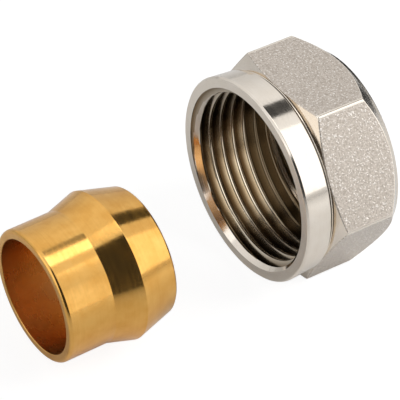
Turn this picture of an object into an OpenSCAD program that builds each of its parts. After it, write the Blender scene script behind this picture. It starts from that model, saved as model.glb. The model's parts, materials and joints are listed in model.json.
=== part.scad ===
// Union nut and compression ring of a screwed joint for copper pipe.
// Both lie on the floor z = 0 in one line, as they do before they are fitted:
// the ring in front, at -Y, on its widest circle, and the nut behind it on one flat.
// Every piece of revolution is drawn as a half section of [radius, height] points
// along its own axis and is then laid down along +Y.

/* [Nut hexagon] */
// Width across the flats
nut_af = 28; // [27.6:0.1:32]
// Length of the nut from mouth to back face
nut_length = 15.7; // [15.2:0.1:22]
// Distance from the mouth to the front corners of the hexagon
hex_front = 5.3; // [5:0.1:6.5]
// Distance from the mouth to the back corners of the hexagon
hex_back = 12.4; // [10:0.1:12.6]
// Slope of the front chamfer, from the plane of the mouth
front_chamfer_angle = 22; // [15:1:30]
// Slope of the back chamfer, from the plane of the mouth
back_chamfer_angle = 45; // [35:1:50]
// Diameter of the flat back face
back_face_d = 25.6; // [22:0.1:27]
// How far the rounded back edge stands out from a straight cone
back_bulge = 0.12; // [0.02:0.01:0.2]

/* [Nut collar] */
// Diameter of the collar at the mouth
collar_d = 29; // [28.4:0.1:30]
// Length of the collar
collar_length = 3.85; // [2:0.05:4]
// Loss of diameter from the mouth to the end of the collar
collar_taper = 0.5; // [0:0.1:0.6]
// Edge break round the mouth
collar_edge = 0.25; // [0.1:0.05:0.4]

/* [Nut thread and seat] */
// Major diameter of the internal thread, a G 3/4 pipe thread
thread_d = 26.441; // [25:0.001:27]
// Pitch of the thread, 14 turns to the inch
thread_pitch = 1.814; // [1.25:0.001:2]
// Diameter of the chamfered mouth
mouth_d = 26; // [25.2:0.1:27.5]
// Depth of the threaded wall below the mouth
thread_depth = 12; // [9:0.1:12.2]
// Width of the relief groove behind the thread
relief_width = 1; // [0.8:0.1:1.4]
// Slope of the relief groove's front flank, from the plane of the mouth
relief_angle = 30; // [15:1:35]
// Length of the plain wall of the pipe hole
pipe_wall = 0.8; // [0.6:0.1:1.2]
// Slope of the seat that presses on the ring
seat_angle = 45; // [35:1:50]

/* [Pipe] */
// Outer diameter of the pipe
pipe_d = 16; // [12:0.5:16.5]
// Clearance on the diameter between pipe and ring
ring_clearance = 0.1; // [0.05:0.01:0.3]
// Clearance on the diameter between pipe and nut
nut_clearance = 0.6; // [0.3:0.1:1]

/* [Compression ring] */
// Length of the ring
ring_length = 16.4; // [15:0.1:19]
// Wall of the cylindrical front end
ring_wall = 1.25; // [0.9:0.05:1.6]
// Height of the widest circle above the cylindrical front end
ring_rise = 1.2; // [0.6:0.05:1.6]
// Drop from the widest circle to the back end
ring_fall = 1.45; // [0.8:0.05:1.8]
// Length of the cylindrical front end
ring_front = 6.8; // [5:0.1:8]
// Length of the front cone
front_cone = 4.05; // [3:0.05:5]
// Radius of the rounded front rim
rim_radius = 0.8; // [0.4:0.05:0.85]
// Width of the chamfer at the back end
back_chamfer = 0.3; // [0.1:0.05:0.5]
// Edge break of the ring's bore
bore_edge = 0.12; // [0.05:0.01:0.2]

/* [Layout] */
// Gap between the back of the ring and the mouth of the nut
lay_gap = 16.6; // [5:0.1:40]

/* [Hidden] */
$fn = 144;
overcut = 1;

// Nut: the profile of the thread, its hexagon and the slopes of the chamfers
thread_height = 0.640327 * thread_pitch;
thread_minor_r = thread_d / 2 - thread_height;
mouth_chamfer = mouth_d / 2 - thread_minor_r;
corner_r = nut_af / 2 / cos(30);
flat_r = nut_af / 2;
front_slope = tan(front_chamfer_angle);
back_slope = tan(back_chamfer_angle);
collar_r = collar_d / 2;
collar_end_r = collar_r - collar_taper / 2;
neck_r = flat_r;
neck_start = collar_length + collar_end_r - neck_r;
neck_end = hex_front - front_slope * (corner_r - neck_r);
hex_end = hex_back + back_slope * (corner_r - flat_r);
back_r = back_face_d / 2;
hole_r = (pipe_d + nut_clearance) / 2;
hole_edge = 0.25;
relief_cut = 0.03;
relief_r = thread_d / 2 + relief_cut;
relief_start = thread_depth + (relief_r - thread_minor_r) * tan(relief_angle);
relief_end = thread_depth + relief_width;
seat_end = nut_length - pipe_wall;
seat_r = hole_r + (seat_end - relief_end) / tan(90 - seat_angle);

// The nut rests on the edge of its collar and the far edge of its lowest flat
lean = atan((collar_r - flat_r) / (hex_end - collar_edge));
mouth_z = collar_r * cos(lean) + collar_edge * sin(lean);

// Ring: radii outwards from the pipe
bore_r = (pipe_d + ring_clearance) / 2;
front_r = bore_r + ring_wall;
wide_r = front_r + ring_rise;
end_r = wide_r - ring_fall;
wide_at = ring_front + front_cone;

// Layout: the origin lies below the middle of the pair
nut_reach = nut_length * cos(lean) + back_r * sin(lean);
pair_length = ring_length + lay_gap + nut_reach;
ring_y = -pair_length / 2;
nut_y = ring_y + ring_length + lay_gap;

// Points of a round edge: centre, radius, first and last angle
function arc(centre, radius, from, to, steps = 8) =
    [for (i = [0:steps]) let (a = from + (to - from) * i / steps)
        centre + radius * [cos(a), sin(a)]];

// Outside of the nut as it is turned, before the flats cut it
module nut_turning() {
    outer = corner_r + overcut;
    rotate_extrude()
        polygon([
            [0, 0],
            [collar_r - collar_edge, 0],
            [collar_r, collar_edge],
            [collar_end_r, collar_length],
            [neck_r, neck_start],
            [neck_r, neck_end],
            [outer, neck_end + front_slope * (outer - neck_r)],
            [outer, hex_end - back_slope * (outer - flat_r)],
            [flat_r, hex_end],
            [(flat_r + back_r) / 2 + back_bulge, (hex_end + nut_length) / 2 + back_bulge],
            [back_r, nut_length],
            [0, nut_length]
        ]);
}

// Collar and hexagon: only the part behind the neck is cut by the flats
module nut_blank() {
    intersection() {
        nut_turning();
        union() {
            cylinder(r = corner_r + overcut, h = neck_end);
            cylinder(r = corner_r, h = nut_length, $fn = 6);
        }
    }
}

// Inside of the nut: mouth chamfer, thread wall at its minor diameter,
// relief groove, seat of the ring and pipe hole
module nut_cavity() {
    rotate_extrude()
        polygon([
            [0, -overcut],
            [mouth_d / 2 + overcut, -overcut],
            [thread_minor_r, mouth_chamfer],
            [thread_minor_r, thread_depth],
            [relief_r, relief_start],
            [relief_r, relief_end],
            [seat_r, relief_end],
            [hole_r, seat_end],
            [hole_r, nut_length - hole_edge],
            [hole_r + hole_edge + overcut, nut_length + overcut],
            [0, nut_length + overcut]
        ]);
}

module union_nut() {
    color("silver")
        translate([0, nut_y, mouth_z])
            rotate([-90 - lean, 0, 0])
                difference() {
                    nut_blank();
                    nut_cavity();
                }
}

// The ring: rounded front rim, cylinder, two cones that meet in the widest
// circle, and a small chamfer at the back
module compression_ring() {
    color("goldenrod")
        translate([0, ring_y, wide_r])
            rotate([-90, 0, 0])
                rotate_extrude()
                    polygon(concat(
                        [[bore_r, bore_edge], [bore_r + bore_edge, 0]],
                        arc([front_r - rim_radius, rim_radius], rim_radius, -90, 0),
                        [
                            [front_r, ring_front],
                            [wide_r, wide_at],
                            [end_r, ring_length - back_chamfer],
                            [end_r - back_chamfer, ring_length],
                            [bore_r + bore_edge, ring_length],
                            [bore_r, ring_length - bore_edge]
                        ]
                    ));
}

union_nut();
compression_ring();
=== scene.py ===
import json
import math

import bmesh
import bpy
import numpy as np
from mathutils import Matrix, Vector


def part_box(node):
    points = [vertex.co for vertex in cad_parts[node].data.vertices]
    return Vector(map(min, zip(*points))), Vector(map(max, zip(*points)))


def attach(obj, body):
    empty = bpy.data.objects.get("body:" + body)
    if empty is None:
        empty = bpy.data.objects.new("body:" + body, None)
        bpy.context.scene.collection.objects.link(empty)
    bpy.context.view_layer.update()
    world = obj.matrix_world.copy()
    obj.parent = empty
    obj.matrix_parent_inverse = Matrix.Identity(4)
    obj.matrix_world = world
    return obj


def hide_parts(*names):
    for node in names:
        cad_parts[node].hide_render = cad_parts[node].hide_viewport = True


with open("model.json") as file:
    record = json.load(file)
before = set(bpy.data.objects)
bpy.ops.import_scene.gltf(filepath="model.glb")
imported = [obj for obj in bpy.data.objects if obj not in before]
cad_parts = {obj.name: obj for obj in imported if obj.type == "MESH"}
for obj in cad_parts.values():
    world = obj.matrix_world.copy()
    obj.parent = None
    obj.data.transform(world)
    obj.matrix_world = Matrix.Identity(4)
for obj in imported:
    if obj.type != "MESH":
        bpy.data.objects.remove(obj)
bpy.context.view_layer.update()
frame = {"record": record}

mm = 0.001
mounts = {mount["name"]: mount for mount in frame["record"]["mounts"]}
scene = bpy.context.scene


# Small helpers for node trees

def plug(tree, socket, value):
    if isinstance(value, bpy.types.NodeSocket):
        tree.links.new(value, socket)
    else:
        socket.default_value = value


def addNode(tree, kind, inputs=None, **settings):
    node = tree.nodes.new(kind)
    for name, value in settings.items():
        setattr(node, name, value)
    for name, value in (inputs or {}).items():
        plug(tree, node.inputs[name], value)
    return node


def calc(tree, operation, *values, kind="ShaderNodeMath"):
    node = tree.nodes.new(kind)
    node.operation = operation
    for socket, value in zip(node.inputs, values):
        plug(tree, socket, value)
    return node.outputs["Value"] if operation in ("LENGTH", "DOT_PRODUCT") or kind == "ShaderNodeMath" \
        else node.outputs["Vector"]


def groupSockets(tree, wanted):
    for name, kind in wanted:
        tree.interface.new_socket(name, in_out="INPUT", socket_type="NodeSocket" + kind)
    tree.interface.new_socket("Geometry", in_out="OUTPUT", socket_type="NodeSocketGeometry")
    return tree.nodes.new("NodeGroupInput").outputs


def bakeTree(tree, startMesh, values, name):
    # Runs the tree once on a throwaway object and keeps the plain mesh that comes out
    holder = bpy.data.objects.new(name + "Holder", startMesh)
    scene.collection.objects.link(holder)
    modifier = holder.modifiers.new(name, "NODES")
    modifier.node_group = tree
    for socket in tree.interface.items_tree:
        if socket.in_out == "INPUT" and socket.name in values:
            modifier[socket.identifier] = values[socket.name]
    evaluated = holder.evaluated_get(bpy.context.evaluated_depsgraph_get())
    made = bpy.data.meshes.new_from_object(evaluated)
    holder.modifiers.remove(modifier)
    bpy.data.objects.remove(holder)
    made.name = name
    return made


def layDown(centre, inward):
    # Turned pieces are drawn with their axis along +Z, and this lays them on their side
    zAxis = Vector(inward).normalized()
    xAxis = Vector((1, 0, 0))
    yAxis = zAxis.cross(xAxis)
    turn = Matrix((xAxis, yAxis, zAxis)).transposed()
    return Matrix.Translation(Vector(centre)) @ turn.to_4x4()


# Profiles: corners are [radius, depth] in mm, one column of them for every angle

def roundedProfile(corners, radii, steps):
    # Every inner corner becomes an arc with a holding point on each side, so that shading stays crisp
    rows = [corners[0]]
    spans = []
    for index in range(1, len(corners) - 1):
        before, here, after = corners[index - 1], corners[index], corners[index + 1]
        toBefore, toAfter = before - here, after - here
        lengthBefore = np.maximum(np.linalg.norm(toBefore, axis=-1, keepdims=True), 1e-6)
        lengthAfter = np.maximum(np.linalg.norm(toAfter, axis=-1, keepdims=True), 1e-6)
        toBefore, toAfter = toBefore / lengthBefore, toAfter / lengthAfter
        cosine = np.clip((toBefore * toAfter).sum(-1, keepdims=True), -0.99999, 0.99999)
        halfAngle = np.arccos(cosine) / 2
        room = 0.42 * np.minimum(lengthBefore, lengthAfter)
        tangent = np.minimum(radii[index] / np.tan(halfAngle), room)
        hold = np.minimum(0.5 * tangent, 0.15 * room)
        start, end = here + toBefore * tangent, here + toAfter * tangent
        weight = np.sin(halfAngle)
        first = len(rows)
        rows.append(start + toBefore * hold)
        for step in range(steps + 1):
            s = step / steps
            parts = (1 - s) ** 2, 2 * weight * s * (1 - s), s ** 2
            rows.append((parts[0] * start + parts[1] * here + parts[2] * end) / sum(parts))
        rows.append(end + toAfter * hold)
        spans.append((first, len(rows)))
    rows.append(corners[-1])
    return rows, spans


print("scene: materials")


def newMaterial(name):
    material = bpy.data.materials.new(name)
    material.use_nodes = True
    tree = material.node_tree
    surface = tree.nodes["Principled BSDF"]
    surface.inputs["Metallic"].default_value = 1
    return material, tree, surface


def pieceCoordinates(tree, place):
    # Object coordinates turned back into the piece's own frame, with its axis along Z
    mapping = addNode(tree, "ShaderNodeMapping", {
        "Vector": addNode(tree, "ShaderNodeTexCoord").outputs["Object"],
        "Location": place.to_translation(),
        "Rotation": place.to_euler(),
    }, vector_type="TEXTURE")
    return mapping.outputs["Vector"]


def noise(tree, vector, scale, detail=2.0, roughness=0.5):
    return addNode(tree, "ShaderNodeTexNoise", {
        "Vector": vector, "Scale": scale, "Detail": detail, "Roughness": roughness,
    }).outputs["Fac"]


def remap(tree, value, fromLow, fromHigh, toLow, toHigh):
    return addNode(tree, "ShaderNodeMapRange", {
        "Value": value, "From Min": fromLow, "From Max": fromHigh, "To Min": toLow, "To Max": toHigh,
    }).outputs["Result"]


def blendColour(tree, factor, colourA, colourB):
    node = addNode(tree, "ShaderNodeMix", data_type="RGBA")
    plug(tree, node.inputs["Factor"], factor)
    plug(tree, node.inputs[6], (*colourA, 1))
    plug(tree, node.inputs[7], colourB if isinstance(colourB, bpy.types.NodeSocket) else (*colourB, 1))
    return node.outputs[2]


def turnedMetal(name, place, finish):
    # Concentric tool marks: a noise that runs along radius and depth and hardly changes round the axis
    material, tree, surface = newMaterial(name)
    local = pieceCoordinates(tree, place)
    split = addNode(tree, "ShaderNodeSeparateXYZ", {"Vector": local}).outputs
    across = calc(tree, "MULTIPLY", local, (1, 1, 0), kind="ShaderNodeVectorMath")
    radius = calc(tree, "LENGTH", across, kind="ShaderNodeVectorMath")
    drift = finish["markDrift"]
    lineUp = addNode(tree, "ShaderNodeCombineXYZ", {
        "X": calc(tree, "MULTIPLY_ADD", split["X"], drift, radius),
        "Y": calc(tree, "MULTIPLY_ADD", split["Y"], drift, split["Z"]),
        "Z": calc(tree, "MULTIPLY", split["X"], drift),
    }).outputs["Vector"]
    marks = noise(tree, lineUp, finish["marksPerMetre"], 3, 0.6)
    patches = noise(tree, local, finish["patchesPerMetre"], 3, 0.55)
    toned = calc(tree, "ADD", remap(tree, patches, 0.35, 0.65, 0, 0.7), remap(tree, marks, 0.35, 0.65, 0, 0.3))
    colour = blendColour(tree, toned, finish["colour"], finish["tint"])
    if "grooveColour" in finish:  # painted shade: the thread darkens from its crests out to its roots, standing in for the shade in the grooves
        grooveShadeBlend = remap(tree, radius, *(depth * mm for depth in finish["grooveFrom"]), 1, 0)
        colour = blendColour(tree, grooveShadeBlend, finish["grooveColour"], colour)
    if "deepColour" in finish:  # painted shade: the thread darkens towards its far end, standing in for the shade deep inside the nut
        deepShadeBlend = remap(tree, split["Z"], *(depth * mm for depth in finish["deepFrom"]), 1, 0)
        colour = blendColour(tree, deepShadeBlend, finish["deepColour"], colour)
    plug(tree, surface.inputs["Base Color"], colour)
    rough = remap(tree, patches, 0.3, 0.7, finish["roughness"][0], finish["roughness"][1])
    plug(tree, surface.inputs["Roughness"],
         calc(tree, "ADD", rough, remap(tree, marks, 0.3, 0.7, 0, finish["markRoughness"])))
    ripple = addNode(tree, "ShaderNodeBump", {"Height": patches, "Distance": finish["rippleDepth"], "Strength": 1.0})
    bump = addNode(tree, "ShaderNodeBump", {
        "Height": marks, "Distance": finish["markDepth"], "Strength": 1.0, "Normal": ripple.outputs["Normal"]})
    plug(tree, surface.inputs["Normal"], bump.outputs["Normal"])
    return material


def blastedMetal(name, place, finish):
    # Fine pitted grain, with small flat spots that flash where they face a light
    material, tree, surface = newMaterial(name)
    local = pieceCoordinates(tree, place)
    grain = noise(tree, local, finish["grainPerMetre"], 3, 0.65)
    spots = noise(tree, local, finish["spotsPerMetre"], 1, 0.5)
    spotMask = remap(tree, spots, finish["spotFrom"], finish["spotFrom"] + 0.05, 0, 1)
    shade = remap(tree, grain, 0.36, 0.62, 0, 1)
    mixed = addNode(tree, "ShaderNodeMix", data_type="RGBA")
    plug(tree, mixed.inputs["Factor"], spotMask)
    plug(tree, mixed.inputs[6], blendColour(tree, shade, finish["tint"], finish["colour"]))
    plug(tree, mixed.inputs[7], (*finish["spotColour"], 1))
    plug(tree, surface.inputs["Base Color"], mixed.outputs[2])
    rough = remap(tree, grain, 0.3, 0.7, finish["roughness"][0], finish["roughness"][1])
    plug(tree, surface.inputs["Roughness"],
         calc(tree, "SUBTRACT", rough, calc(tree, "MULTIPLY", spotMask, finish["spotPolish"])))
    height = calc(tree, "MULTIPLY_ADD", spots, 0.8, grain)
    bump = addNode(tree, "ShaderNodeBump", {"Height": height, "Distance": finish["grainDepth"], "Strength": 1.0})
    plug(tree, surface.inputs["Normal"], bump.outputs["Normal"])
    return material


print("scene: union nut")

nut = {  # sizes in mm, from the mouth inwards
    "acrossFlats": 28.0,
    "length": 15.7,
    "hexFront": 5.3,  # mouth to the front corners of the hexagon
    "hexBack": 12.4,
    "frontSlope": 22.0,  # degrees from the plane of the mouth
    "backSlope": 45.0,
    "backFaceDiameter": 25.6,
    "backBulge": 0.12,
    "backLand": 0.12,  # the back chamfer goes on this far below the flats
    "collarDiameter": 29.0,
    "collarLength": 3.85,
    "collarTaper": 0.5,
    "collarEdge": 0.25,
    "shoulderRun": 0.04,
    "neckCut": 0.15,  # the neck's root below the flats
    "mouthDiameter": 26.0,
    "threadDiameter": 26.441,
    "threadPitch": 1.814,
    "threadDepth": 12.0,
    "firstCrest": -0.09,  # depth of the crest at the side of the nut
    "threadRounding": 0.1,
    "landTolerance": 0.03,  # how near the mouth's cone a face lies to be turned and not threaded
    "reliefCut": 0.03,
    "reliefWidth": 1.0,
    "reliefSlope": 30.0,
    "pipeHoleDiameter": 16.6,
    "pipeWall": 0.8,
    "holeEdge": 0.25,
    "seatSlope": 45.0,
    "cornerRadius": 0.4,  # between two flats
    "flatEdgeRadius": 0.16,  # where a chamfer meets a flat
    "turnedEdgeRadius": 0.09,
    "columns": 288,
    "cornerDensity": 0.88,
    "rowsPerTurn": 22,
}

nutFinish = {
    "turned": {
        "colour": (0.89, 0.82, 0.73), "tint": (0.84, 0.76, 0.66), "patchesPerMetre": 420.0,
        "roughness": (0.07, 0.11), "marksPerMetre": 7000.0, "markDrift": 0.02,
        "markRoughness": 0.05, "markDepth": 0.000001, "rippleDepth": 0.000008,
    },
    "threaded": {
        "colour": (0.86, 0.78, 0.66), "tint": (0.70, 0.60, 0.46), "patchesPerMetre": 260.0,
        "roughness": (0.10, 0.16), "marksPerMetre": 6000.0, "markDrift": 0.02,
        "markRoughness": 0.06, "markDepth": 0.0000012, "rippleDepth": 0.000012,
        # Painted shade: the groove colour darkens the thread's flanks and roots, standing in for the shade in the
        # grooves
        "grooveColour": (0.27, 0.20, 0.125), "grooveFrom": (12.1, 12.9),
        # Painted shade: the deep colour darkens the far end of the thread, standing in for the shade deep inside the
        # nut
        "deepColour": (0.20, 0.155, 0.10), "deepFrom": (7.4, 9.0),
    },
    # Painted shade: the neck between collar and hexagon is coloured near black, standing in for the shadow in that
    # narrow gap
    "undercut": {
        "colour": (0.12, 0.10, 0.08), "tint": (0.08, 0.065, 0.05), "patchesPerMetre": 300.0,
        "roughness": (0.2, 0.3), "marksPerMetre": 6000.0, "markDrift": 0.02,
        "markRoughness": 0.05, "markDepth": 0.000001, "rippleDepth": 0.000001,
    },
    "blasted": {
        "colour": (0.67, 0.60, 0.53), "tint": (0.48, 0.42, 0.36), "spotColour": (0.88, 0.83, 0.77),
        "grainPerMetre": 3600.0, "grainDepth": 0.000028, "roughness": (0.27, 0.38),
        "spotsPerMetre": 4000.0, "spotFrom": 0.6, "spotPolish": 0.22,
    },
}

threadHeight = 0.640327 * nut["threadPitch"]
minorRadius = nut["threadDiameter"] / 2 - threadHeight
mouthRadius = nut["mouthDiameter"] / 2
flatRadius = nut["acrossFlats"] / 2
reliefRadius = nut["threadDiameter"] / 2 + nut["reliefCut"]
reliefGrade = math.tan(math.radians(nut["reliefSlope"]))
reliefStart = nut["threadDepth"] + (reliefRadius - minorRadius) * reliefGrade
nutAxis = -Vector(mounts["thread"]["axis"])
wallMiddle = (mouthRadius - minorRadius + nut["threadDepth"]) / 2
nutPlace = layDown(Vector(mounts["thread"]["pos_m"]) - nutAxis * wallMiddle * mm, nutAxis)


def nutAngles():
    # Columns crowd together at the six corners of the hexagon
    turn = np.arange(nut["columns"]) * 2 * np.pi / nut["columns"]
    return turn - nut["cornerDensity"] * np.sin(6 * turn) / 6


def hexagonRadius(angles):
    # Distance from the axis to a hexagon with rounded corners
    fromCorner = (angles + np.pi / 6) % (np.pi / 3) - np.pi / 6
    rounding = nut["cornerRadius"]
    centre = (flatRadius - rounding) / math.cos(math.pi / 6)
    touch = math.atan2(rounding / 2, centre + rounding * math.cos(math.pi / 6))
    onFlat = flatRadius / np.cos(np.pi / 6 - np.abs(fromCorner))
    inside = np.maximum(rounding ** 2 - (centre * np.sin(fromCorner)) ** 2, 0)
    onArc = centre * np.cos(fromCorner) + np.sqrt(inside)
    return np.where(np.abs(fromCorner) < touch, onArc, onFlat), np.abs(fromCorner) < 1.6 * touch


def nutShell(angles):
    # Everything but the threaded wall, as rows of points from the mouth round the outside to the relief groove
    hexRadius, onCorner = hexagonRadius(angles)
    frontGrade = math.tan(math.radians(nut["frontSlope"]))
    backGrade = math.tan(math.radians(nut["backSlope"]))
    cornerRadius = flatRadius / math.cos(math.pi / 6)
    collarRadius = nut["collarDiameter"] / 2
    collarEnd = collarRadius - nut["collarTaper"] / 2
    neckRadius = flatRadius - nut["neckCut"]
    neckEnd = nut["hexFront"] - frontGrade * (cornerRadius - neckRadius)
    hexEnd = nut["hexBack"] + backGrade * (cornerRadius - flatRadius)
    backRadius = nut["backFaceDiameter"] / 2
    holeRadius = nut["pipeHoleDiameter"] / 2
    seatEnd = nut["length"] - nut["pipeWall"]
    reliefEnd = nut["threadDepth"] + nut["reliefWidth"]
    seatRadius = holeRadius + (seatEnd - reliefEnd) * math.tan(math.radians(nut["seatSlope"]))
    fine, edge = nut["turnedEdgeRadius"], nut["flatEdgeRadius"]
    outline = [  # radius, depth, rounding, finish of the stretch that follows
        (mouthRadius, 0, 0, "turned"),
        (collarRadius - nut["collarEdge"], 0, fine, "turned"),
        (collarRadius, nut["collarEdge"], fine, "turned"),
        (collarEnd, nut["collarLength"], fine, "turned"),
        # Painted shade: this stretch of the neck takes the near-black finish that stands in for the shadow in the gap
        (neckRadius, nut["collarLength"] + nut["shoulderRun"], fine, "undercut"),
        (neckRadius, neckEnd, fine, "turned"),
        (hexRadius, neckEnd + frontGrade * (hexRadius - neckRadius), edge, "blasted"),
        (hexRadius, hexEnd - backGrade * (hexRadius - flatRadius), edge, "turned"),
        (flatRadius - nut["backLand"], hexEnd + backGrade * nut["backLand"], 2 * edge, "turned"),
        ((flatRadius + backRadius) / 2 + nut["backBulge"],
         (hexEnd + nut["length"]) / 2 + nut["backBulge"], 6 * fine, "turned"),
        (backRadius, nut["length"], 2 * fine, "turned"),
        (holeRadius + nut["holeEdge"], nut["length"], fine, "turned"),
        (holeRadius, nut["length"] - nut["holeEdge"], fine, "turned"),
        (holeRadius, seatEnd, fine, "turned"),
        (seatRadius, reliefEnd, fine, "turned"),
        (reliefRadius, reliefEnd, fine, "turned"),
        (reliefRadius, reliefStart, 0, "turned"),
    ]
    corners = [np.stack([np.broadcast_to(r, angles.shape), np.broadcast_to(y, angles.shape)], -1).astype(float)
               for r, y, _, _ in outline]
    rows, spans = roundedProfile(corners, [entry[2] for entry in outline], 4)
    finishes = []
    for row in range(len(rows) - 1):
        corner = sum(1 for first, _ in spans if first <= row)
        finishes.append(outline[corner][3])
    return rows, finishes, onCorner


def threadTree():
    # The threaded wall: a grid whose rows climb with the helix, held between the mouth and the relief groove
    tree = bpy.data.node_groups.new("threadedWall", "GeometryNodeTree")
    given = groupSockets(tree, [
        ("Columns", "Int"), ("Turns", "Int"), ("Rows Per Turn", "Int"), ("Corner Density", "Float"),
        ("Minor Radius", "Float"), ("Major Radius", "Float"), ("Pitch", "Float"), ("First Crest", "Float"),
        ("Rounding", "Float"), ("Mouth Radius", "Float"), ("Thread Depth", "Float"),
        ("Relief Grade", "Float"), ("Relief Start", "Float"), ("Merge Distance", "Float"),
        ("Material", "Material"),
    ])
    rowCount = calc(tree, "MULTIPLY", given["Turns"], given["Rows Per Turn"])
    grid = addNode(tree, "GeometryNodeMeshGrid", {
        "Size X": 1.0, "Size Y": 1.0,
        "Vertices X": calc(tree, "ADD", given["Columns"], 1),
        "Vertices Y": calc(tree, "ADD", rowCount, 1),
    })
    spot = addNode(tree, "ShaderNodeSeparateXYZ", {
        "Vector": addNode(tree, "GeometryNodeInputPosition").outputs["Position"]}).outputs
    around = calc(tree, "MULTIPLY", calc(tree, "ADD", spot["X"], 0.5), 2 * math.pi)
    crowd = calc(tree, "MULTIPLY", calc(tree, "SINE", calc(tree, "MULTIPLY", around, 6.0)),
                 calc(tree, "DIVIDE", given["Corner Density"], 6.0))
    angle = calc(tree, "SUBTRACT", around, crowd)
    turned = calc(tree, "DIVIDE", angle, 2 * math.pi)
    climbed = calc(tree, "SUBTRACT", calc(tree, "MULTIPLY", calc(tree, "ADD", spot["Y"], 0.5), given["Turns"]), turned)
    freeDepth = calc(tree, "MULTIPLY_ADD", climbed, given["Pitch"], given["First Crest"])
    depth = calc(tree, "MAXIMUM", calc(tree, "MINIMUM", freeDepth, given["Relief Start"]), 0.0)
    # Whitworth form: a 55 degree triangle, rounded at crest and root
    phase = calc(tree, "ADD", calc(tree, "DIVIDE", calc(tree, "SUBTRACT", depth, given["First Crest"]),
                                   given["Pitch"]), turned)
    height = calc(tree, "MULTIPLY", given["Pitch"], 0.960491)
    triangle = calc(tree, "MULTIPLY", calc(tree, "PINGPONG", phase, 0.5), 2.0)
    flank = calc(tree, "MULTIPLY_ADD", calc(tree, "SUBTRACT", triangle, 1 / 6), height, given["Minor Radius"])
    crested = calc(tree, "SMOOTH_MAX", flank, given["Minor Radius"], given["Rounding"])
    rooted = calc(tree, "SMOOTH_MIN", crested, given["Major Radius"], given["Rounding"])
    chamfered = calc(tree, "MAXIMUM", rooted, calc(tree, "SUBTRACT", given["Mouth Radius"], depth))
    capped = calc(tree, "MINIMUM", chamfered, calc(tree, "ADD", given["Mouth Radius"], depth))
    reliefCone = calc(tree, "ADD", given["Minor Radius"], calc(
        tree, "DIVIDE", calc(tree, "SUBTRACT", depth, given["Thread Depth"]), given["Relief Grade"]))
    radius = calc(tree, "MAXIMUM", capped, reliefCone)
    place = addNode(tree, "ShaderNodeCombineXYZ", {
        "X": calc(tree, "MULTIPLY", radius, calc(tree, "COSINE", angle)),
        "Y": calc(tree, "MULTIPLY", radius, calc(tree, "MULTIPLY", calc(tree, "SINE", angle), -1.0)),
        "Z": depth,
    })
    moved = addNode(tree, "GeometryNodeSetPosition", {
        "Geometry": grid.outputs["Mesh"], "Position": place.outputs["Vector"]})
    merged = addNode(tree, "GeometryNodeMergeByDistance", {
        "Geometry": moved.outputs["Geometry"], "Distance": given["Merge Distance"]})
    smooth = addNode(tree, "GeometryNodeSetShadeSmooth", {"Geometry": merged.outputs["Geometry"]})
    real = addNode(tree, "GeometryNodeRealizeInstances", {"Geometry": smooth.outputs["Geometry"]})
    dressed = addNode(tree, "GeometryNodeSetMaterial", {
        "Geometry": real.outputs["Geometry"], "Material": given["Material"]})
    addNode(tree, "NodeGroupOutput", {"Geometry": dressed.outputs["Geometry"]})
    return tree


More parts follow.
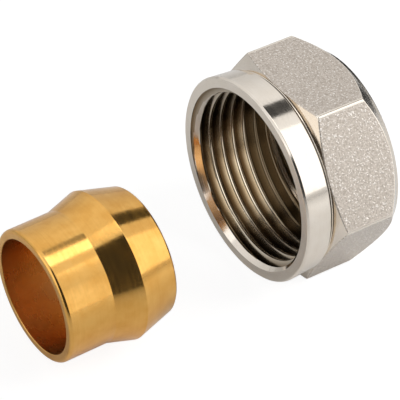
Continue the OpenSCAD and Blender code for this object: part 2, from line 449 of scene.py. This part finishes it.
def buildNut():
    turnedNickel = turnedMetal("turnedNickel", nutPlace, nutFinish["turned"])
    blastedNickel = blastedMetal("blastedNickel", nutPlace, nutFinish["blasted"])
    threadedNickel = turnedMetal("threadedNickel", nutPlace, nutFinish["threaded"])
    undercutNickel = turnedMetal("undercutNickel", nutPlace, nutFinish["undercut"])
    finishSlots = {"turned": 0, "blasted": 1, "undercut": 3}
    wall = bakeTree(threadTree(), bpy.data.meshes.new("threadStart"), {
        "Columns": nut["columns"],
        "Turns": math.ceil(reliefStart / nut["threadPitch"]) + 2,
        "Rows Per Turn": nut["rowsPerTurn"],
        "Corner Density": nut["cornerDensity"],
        "Minor Radius": minorRadius * mm,
        "Major Radius": nut["threadDiameter"] / 2 * mm,
        "Pitch": nut["threadPitch"] * mm,
        "First Crest": nut["firstCrest"] * mm,
        "Rounding": nut["threadRounding"] * mm,
        "Mouth Radius": mouthRadius * mm,
        "Thread Depth": nut["threadDepth"] * mm,
        "Relief Grade": reliefGrade,
        "Relief Start": reliefStart * mm,
        "Merge Distance": 0.004 * mm,
        "Material": threadedNickel,
    }, "threadedWall")
    angles = nutAngles()
    rows, finishes, onCorner = nutShell(angles)
    columns = len(angles)
    points = []
    for row in rows:
        for (radius, depth), angle in zip(row, angles):
            points.append((radius * math.cos(angle) * mm, -radius * math.sin(angle) * mm, depth * mm))
    faces = []
    slots = []
    for row, finish in enumerate(finishes):
        for column in range(columns):
            following = (column + 1) % columns
            faces.append((row * columns + column, row * columns + following,
                          (row + 1) * columns + following, (row + 1) * columns + column))
            polished = finish == "blasted" and onCorner[column] and onCorner[following]
            slots.append(0 if polished else finishSlots[finish])
    shell = bpy.data.meshes.new("nutShell")
    shell.from_pydata(points, [], faces)
    shell.polygons.foreach_set("material_index", slots)
    mouthLand = [max(abs(math.hypot(*wall.vertices[v].co.xy) + wall.vertices[v].co.z - mouthRadius * mm)
                     for v in face.vertices) < nut["landTolerance"] * mm for face in wall.polygons]
    wall.polygons.foreach_set("material_index", [0 if land else 2 for land in mouthLand])
    whole = bmesh.new()
    whole.from_mesh(shell)
    whole.from_mesh(wall)
    bmesh.ops.remove_doubles(whole, verts=whole.verts, dist=0.003 * mm)
    bmesh.ops.dissolve_degenerate(whole, edges=whole.edges, dist=0.0005 * mm)
    bmesh.ops.recalc_face_normals(whole, faces=whole.faces)
    whole.transform(nutPlace)
    openEdges = sum(1 for edge in whole.edges if len(edge.link_faces) != 2)
    mesh = bpy.data.meshes.new("unionNut")
    whole.to_mesh(mesh)
    whole.free()
    for material in (turnedNickel, blastedNickel, threadedNickel, undercutNickel):
        mesh.materials.append(material)
    mesh.polygons.foreach_set("use_smooth", [True] * len(mesh.polygons))
    mesh.set_sharp_from_angle(angle=math.radians(38))
    piece = bpy.data.objects.new("hexagonUnionNut", mesh)
    scene.collection.objects.link(piece)
    print(f"scene: nut has {len(mesh.polygons)} faces, {openEdges} open edges")
    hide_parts("union_nut")
    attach(piece, "root")
    return piece


print("scene: compression ring")

ring = {  # sizes in mm, from the front rim backwards
    "wall": 1.25,
    "rise": 1.2,
    "fall": 1.45,
    "length": 16.4,
    "frontLength": 6.8,
    "frontCone": 4.05,
    "rimRadius": 0.8,
    "backChamfer": 0.3,
    "boreEdge": 0.12,
    "boreTolerance": 0.02,
    "turnedEdgeRadius": 0.12,
    "columns": 256,
}

ringFinish = {
    "turned": {
        "colour": (0.88, 0.50, 0.14), "tint": (0.78, 0.40, 0.09), "patchesPerMetre": 420.0,
        "roughness": (0.07, 0.13), "marksPerMetre": 5200.0, "markDrift": 0.02,
        "markRoughness": 0.08, "markDepth": 0.0000022, "rippleDepth": 0.000014,
    },
    # Painted shade: the bore's brass is darker than the outside, standing in for the shade inside the ring; its
    # rougher finish is real
    "bored": {
        "colour": (0.76, 0.43, 0.16), "tint": (0.66, 0.34, 0.11), "patchesPerMetre": 300.0,
        "roughness": (0.2, 0.3), "marksPerMetre": 2400.0, "markDrift": 0.02,
        "markRoughness": 0.04, "markDepth": 0.0000005, "rippleDepth": 0.00001,
    },
}

ringPlace = layDown(Vector((0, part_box("compression_ring")[0].y, mounts["ring_bore"]["pos_m"][2])), (0, 1, 0))


def latheTree():
    # Turns the profile that comes in, points of [radius, -, depth], round the Z axis
    tree = bpy.data.node_groups.new("latheWork", "GeometryNodeTree")
    given = groupSockets(tree, [
        ("Geometry", "Geometry"), ("Columns", "Int"), ("Profile Points", "Int"),
        ("Merge Distance", "Float"), ("Material", "Material"),
    ])
    grid = addNode(tree, "GeometryNodeMeshGrid", {
        "Size X": 1.0, "Size Y": 1.0,
        "Vertices X": calc(tree, "ADD", given["Columns"], 1),
        "Vertices Y": calc(tree, "ADD", given["Profile Points"], 1),
    })
    position = addNode(tree, "GeometryNodeInputPosition").outputs["Position"]
    spot = addNode(tree, "ShaderNodeSeparateXYZ", {"Vector": position}).outputs
    row = calc(tree, "ROUND", calc(tree, "MULTIPLY", calc(tree, "ADD", spot["Y"], 0.5), given["Profile Points"]))
    wrapped = calc(tree, "FLOORED_MODULO", row, given["Profile Points"])
    sample = addNode(tree, "GeometryNodeSampleIndex", data_type="FLOAT_VECTOR", domain="POINT")
    plug(tree, sample.inputs["Geometry"], given["Geometry"])
    plug(tree, sample.inputs["Value"], position)
    plug(tree, sample.inputs["Index"], wrapped)
    profile = addNode(tree, "ShaderNodeSeparateXYZ", {"Vector": sample.outputs["Value"]}).outputs
    angle = calc(tree, "MULTIPLY", calc(tree, "ADD", spot["X"], 0.5), 2 * math.pi)
    place = addNode(tree, "ShaderNodeCombineXYZ", {
        "X": calc(tree, "MULTIPLY", profile["X"], calc(tree, "COSINE", angle)),
        "Y": calc(tree, "MULTIPLY", profile["X"], calc(tree, "SINE", angle)),
        "Z": profile["Z"],
    })
    moved = addNode(tree, "GeometryNodeSetPosition", {
        "Geometry": grid.outputs["Mesh"], "Position": place.outputs["Vector"]})
    merged = addNode(tree, "GeometryNodeMergeByDistance", {
        "Geometry": moved.outputs["Geometry"], "Distance": given["Merge Distance"]})
    smooth = addNode(tree, "GeometryNodeSetShadeSmooth", {"Geometry": merged.outputs["Geometry"]})
    real = addNode(tree, "GeometryNodeRealizeInstances", {"Geometry": smooth.outputs["Geometry"]})
    dressed = addNode(tree, "GeometryNodeSetMaterial", {
        "Geometry": real.outputs["Geometry"], "Material": given["Material"]})
    addNode(tree, "NodeGroupOutput", {"Geometry": dressed.outputs["Geometry"]})
    return tree


def ringProfile():
    bore = mounts["ring_bore"]["dims"]["r_mm"]
    front = bore + ring["wall"]
    wide = front + ring["rise"]
    end = wide - ring["fall"]
    edge = ring["turnedEdgeRadius"]
    middle = ring["length"] / 2
    outline = [
        (bore, middle, 0),
        (bore, 0, ring["boreEdge"]),
        (front, 0, ring["rimRadius"]),
        (front, ring["frontLength"], 2 * edge),
        (wide, ring["frontLength"] + ring["frontCone"], edge),
        (end, ring["length"] - ring["backChamfer"], edge),
        (end - ring["backChamfer"], ring["length"], edge),
        (bore, ring["length"], ring["boreEdge"]),
        (bore, middle, 0),
    ]
    corners = [np.array([[radius, depth]], float) for radius, depth, _ in outline]
    rows, _ = roundedProfile(corners, [entry[2] for entry in outline], 8)
    return [tuple(row[0]) for row in rows[:-1]]


def buildRing():
    turnedBrass = turnedMetal("turnedBrass", ringPlace, ringFinish["turned"])
    boredBrass = turnedMetal("boredBrass", ringPlace, ringFinish["bored"])
    profile = ringProfile()
    start = bpy.data.meshes.new("ringProfile")
    start.from_pydata([(radius * mm, 0, depth * mm) for radius, depth in profile], [], [])
    mesh = bakeTree(latheTree(), start, {
        "Columns": ring["columns"], "Profile Points": len(profile),
        "Merge Distance": 0.002 * mm, "Material": turnedBrass,
    }, "compressionRing")
    mesh.materials.clear()  # the grid brings an empty slot with it
    for material in (turnedBrass, boredBrass):
        mesh.materials.append(material)
    # Faces in the bore take the darker brass with its painted shade
    boreRadius = mounts["ring_bore"]["dims"]["r_mm"] + ring["boreTolerance"]
    inBore = [max(math.hypot(*mesh.vertices[v].co.xy) for v in face.vertices) < boreRadius * mm
              for face in mesh.polygons]
    mesh.polygons.foreach_set("material_index", [int(inside) for inside in inBore])
    whole = bmesh.new()
    whole.from_mesh(mesh)
    bmesh.ops.recalc_face_normals(whole, faces=whole.faces)
    openEdges = sum(1 for edge in whole.edges if len(edge.link_faces) != 2)
    whole.transform(ringPlace)
    whole.to_mesh(mesh)
    whole.free()
    mesh.set_sharp_from_angle(angle=math.radians(38))
    piece = bpy.data.objects.new("turnedCompressionRing", mesh)
    scene.collection.objects.link(piece)
    print(f"scene: ring has {len(mesh.polygons)} faces, {openEdges} open edges")
    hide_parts("compression_ring")
    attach(piece, "root")
    return piece


buildNut()
buildRing()

print("scene: studio")

studio = {  # metres and degrees; azimuth 0 is +Y and 90 is +X
    "floorSize": 6.0,
    "floorColour": 0.88,  # as the metal sees it
    "floorGloss": 0.15,
    "floorShade": 0.25,  # share of the shadow that the camera sees
    "floorGlow": 0.9,
    "mirroredShare": 0.12,  # how much of the white background the metal shows
    "bounce": 0.35,  # share of the tent's light that reaches the floor
    "lampAzimuth": 33,
    "lampElevation": 42,
    "lampDistance": 0.45,
    "lampSize": 0.3,
    "lampPower": 1.2,
    "horizon": 0.62,
    "zenith": 0.95,
    "horizonUp": 0.15,  # heights on the unit sphere between which the tent brightens
    "zenithUp": 0.75,
    "aim": (-0.0024, 0.0029, 0.012),
    "cameraAzimuth": 123.78,
    "cameraElevation": 41.34,
    "cameraDistance": 0.371,
    "lens": 251.0,
}

panels = [  # name, azimuth and elevation faced, degrees to its left, right, lower and upper edge, radius, strength
    ("keySoftbox", 33, 0, -21, 24, 4, 59, 0.42, 1.5),
    ("overheadStrip", 0, 90, -7, 10, -22, 9, 0.42, 2.4),
    ("slimFlag", -20, 0, -10.5, 11, 34, 58, 0.40, 0.05),
    ("upperFlag", -34, 0, -11, 9, 58, 69, 0.41, 0.35),
    ("frontFlag", 128, 0, -32, 32, -1.5, 72, 0.42, 0.04),
    ("sideSoftbox", 80, 0, -11, 12, -1.5, 34, 0.41, 1.15),
    ("frontSoftbox", 184, 0, -24, 24, -1.5, 35, 0.42, 1.25),
    ("rearFlag", -20, 0, -16, 16, -8, 10, 0.08, 0.04),
]


def direction(azimuth, elevation):
    a, e = math.radians(azimuth), math.radians(elevation)
    return Vector((math.sin(a) * math.cos(e), math.cos(a) * math.cos(e), math.sin(e)))


def whiteShare(tree):
    # Camera rays see a white background, and mirrored rays see a share of it over the studio's own light
    path = addNode(tree, "ShaderNodeLightPath").outputs
    return calc(tree, "MULTIPLY_ADD", path["Is Glossy Ray"], studio["mirroredShare"], path["Is Camera Ray"])


def buildFloor():
    half = studio["floorSize"] / 2
    mesh = bpy.data.meshes.new("paleFloor")
    mesh.from_pydata([(-half, -half, 0), (half, -half, 0), (half, half, 0), (-half, half, 0)], [], [(0, 1, 2, 3)])
    material = bpy.data.materials.new("palePaper")
    material.use_nodes = True
    tree = material.node_tree
    tree.nodes.clear()
    seen = whiteShare(tree)
    white, shade = (studio["floorColour"],) * 3, (studio["floorShade"],) * 3
    matt = addNode(tree, "ShaderNodeBsdfDiffuse", {"Color": blendColour(tree, seen, white, shade)})
    light = addNode(tree, "ShaderNodeEmission", {
        "Strength": calc(tree, "MULTIPLY", seen, studio["floorGlow"])})
    both = tree.nodes.new("ShaderNodeAddShader")
    tree.links.new(matt.outputs[0], both.inputs[0])
    tree.links.new(light.outputs[0], both.inputs[1])
    gloss = addNode(tree, "ShaderNodeBsdfGlossy", {"Roughness": studio["floorGloss"]})
    unseen = calc(tree, "SUBTRACT", 1.0, seen)
    polish = calc(tree, "MULTIPLY", addNode(tree, "ShaderNodeFresnel", {"IOR": 1.45}).outputs[0], unseen)
    sheet = addNode(tree, "ShaderNodeMixShader", {"Fac": polish})
    tree.links.new(both.outputs[0], sheet.inputs[1])
    tree.links.new(gloss.outputs[0], sheet.inputs[2])
    addNode(tree, "ShaderNodeOutputMaterial", {"Surface": sheet.outputs[0]})
    mesh.materials.append(material)
    floor = bpy.data.objects.new("paleFloor", mesh)
    scene.collection.objects.link(floor)


def buildPanel(name, azimuth, elevation, left, right, lower, upper, radius, strength):
    # A curved softbox or flag round the pieces that only the reflections see
    forward, side = direction(azimuth, elevation), direction(azimuth + 90, 0)
    up = side.cross(forward)
    cells = 12
    points = []
    for row in range(cells + 1):
        high = math.radians(lower + (upper - lower) * row / cells)
        for column in range(cells + 1):
            wide = math.radians(left + (right - left) * column / cells)
            towards = (forward * math.cos(wide) + side * math.sin(wide)) * math.cos(high) + up * math.sin(high)
            points.append(Vector(studio["aim"]) + towards * radius)
    corners = [row * (cells + 1) + column for row in range(cells) for column in range(cells)]
    mesh = bpy.data.meshes.new(name)
    mesh.from_pydata(points, [], [(c, c + 1, c + cells + 2, c + cells + 1) for c in corners])
    material = bpy.data.materials.new(name)
    material.use_nodes = True
    tree = material.node_tree
    tree.nodes.clear()
    light = addNode(tree, "ShaderNodeEmission", {"Strength": strength})
    addNode(tree, "ShaderNodeOutputMaterial", {"Surface": light.outputs[0]})
    mesh.materials.append(material)
    panel = bpy.data.objects.new(name, mesh)
    panel.visible_camera = False
    panel.visible_shadow = False
    panel.visible_diffuse = False
    scene.collection.objects.link(panel)


def buildLamp():
    # Lights the floor from the side of the key softbox, so that it has its shadows in every reflection
    lamp = bpy.data.lights.new("keyLamp", "AREA")
    lamp.shape = "SQUARE"
    lamp.size = studio["lampSize"]
    lamp.energy = studio["lampPower"]
    holder = bpy.data.objects.new("keyLamp", lamp)
    towards = direction(studio["lampAzimuth"], studio["lampElevation"])
    holder.location = Vector(studio["aim"]) + towards * studio["lampDistance"]
    holder.rotation_euler = towards.to_track_quat("Z", "Y").to_euler()
    holder.visible_glossy = False
    holder.visible_camera = False
    scene.collection.objects.link(holder)


def buildWorld():
    world = bpy.data.worlds.new("lightTent")
    scene.world = world
    world.use_nodes = True
    tree = world.node_tree
    tree.nodes.clear()
    up = addNode(tree, "ShaderNodeSeparateXYZ", {
        "Vector": addNode(tree, "ShaderNodeTexCoord").outputs["Generated"]}).outputs["Z"]
    tent = remap(tree, up, studio["horizonUp"], studio["zenithUp"], studio["horizon"], studio["zenith"])
    diffuse = addNode(tree, "ShaderNodeLightPath").outputs["Is Diffuse Ray"]
    dimmed = remap(tree, diffuse, 0, 1, 1, studio["bounce"])
    strength = addNode(tree, "ShaderNodeMix", {"Factor": whiteShare(tree)}, data_type="FLOAT")
    plug(tree, strength.inputs[2], calc(tree, "MULTIPLY", tent, dimmed))
    plug(tree, strength.inputs[3], 1.0)
    background = addNode(tree, "ShaderNodeBackground", {"Strength": strength.outputs[0]})
    plug(tree, background.inputs["Color"], (1, 1, 1, 1))
    addNode(tree, "ShaderNodeOutputWorld", {"Surface": background.outputs[0]})


def buildCamera():
    camera = bpy.data.cameras.new("photoCamera")
    camera.lens = studio["lens"]
    camera.sensor_width = 36
    camera.clip_start, camera.clip_end = 0.01, 20
    eye = bpy.data.objects.new("photoCamera", camera)
    towards = direction(studio["cameraAzimuth"], studio["cameraElevation"])
    eye.location = Vector(studio["aim"]) + towards * studio["cameraDistance"]
    eye.rotation_euler = towards.to_track_quat("Z", "Y").to_euler()
    scene.collection.objects.link(eye)
    scene.camera = eye


buildFloor()
for panel in panels:
    buildPanel(*panel)
buildLamp()
buildWorld()
buildCamera()
scene.view_settings.view_transform = "Standard"

print("scene: done")
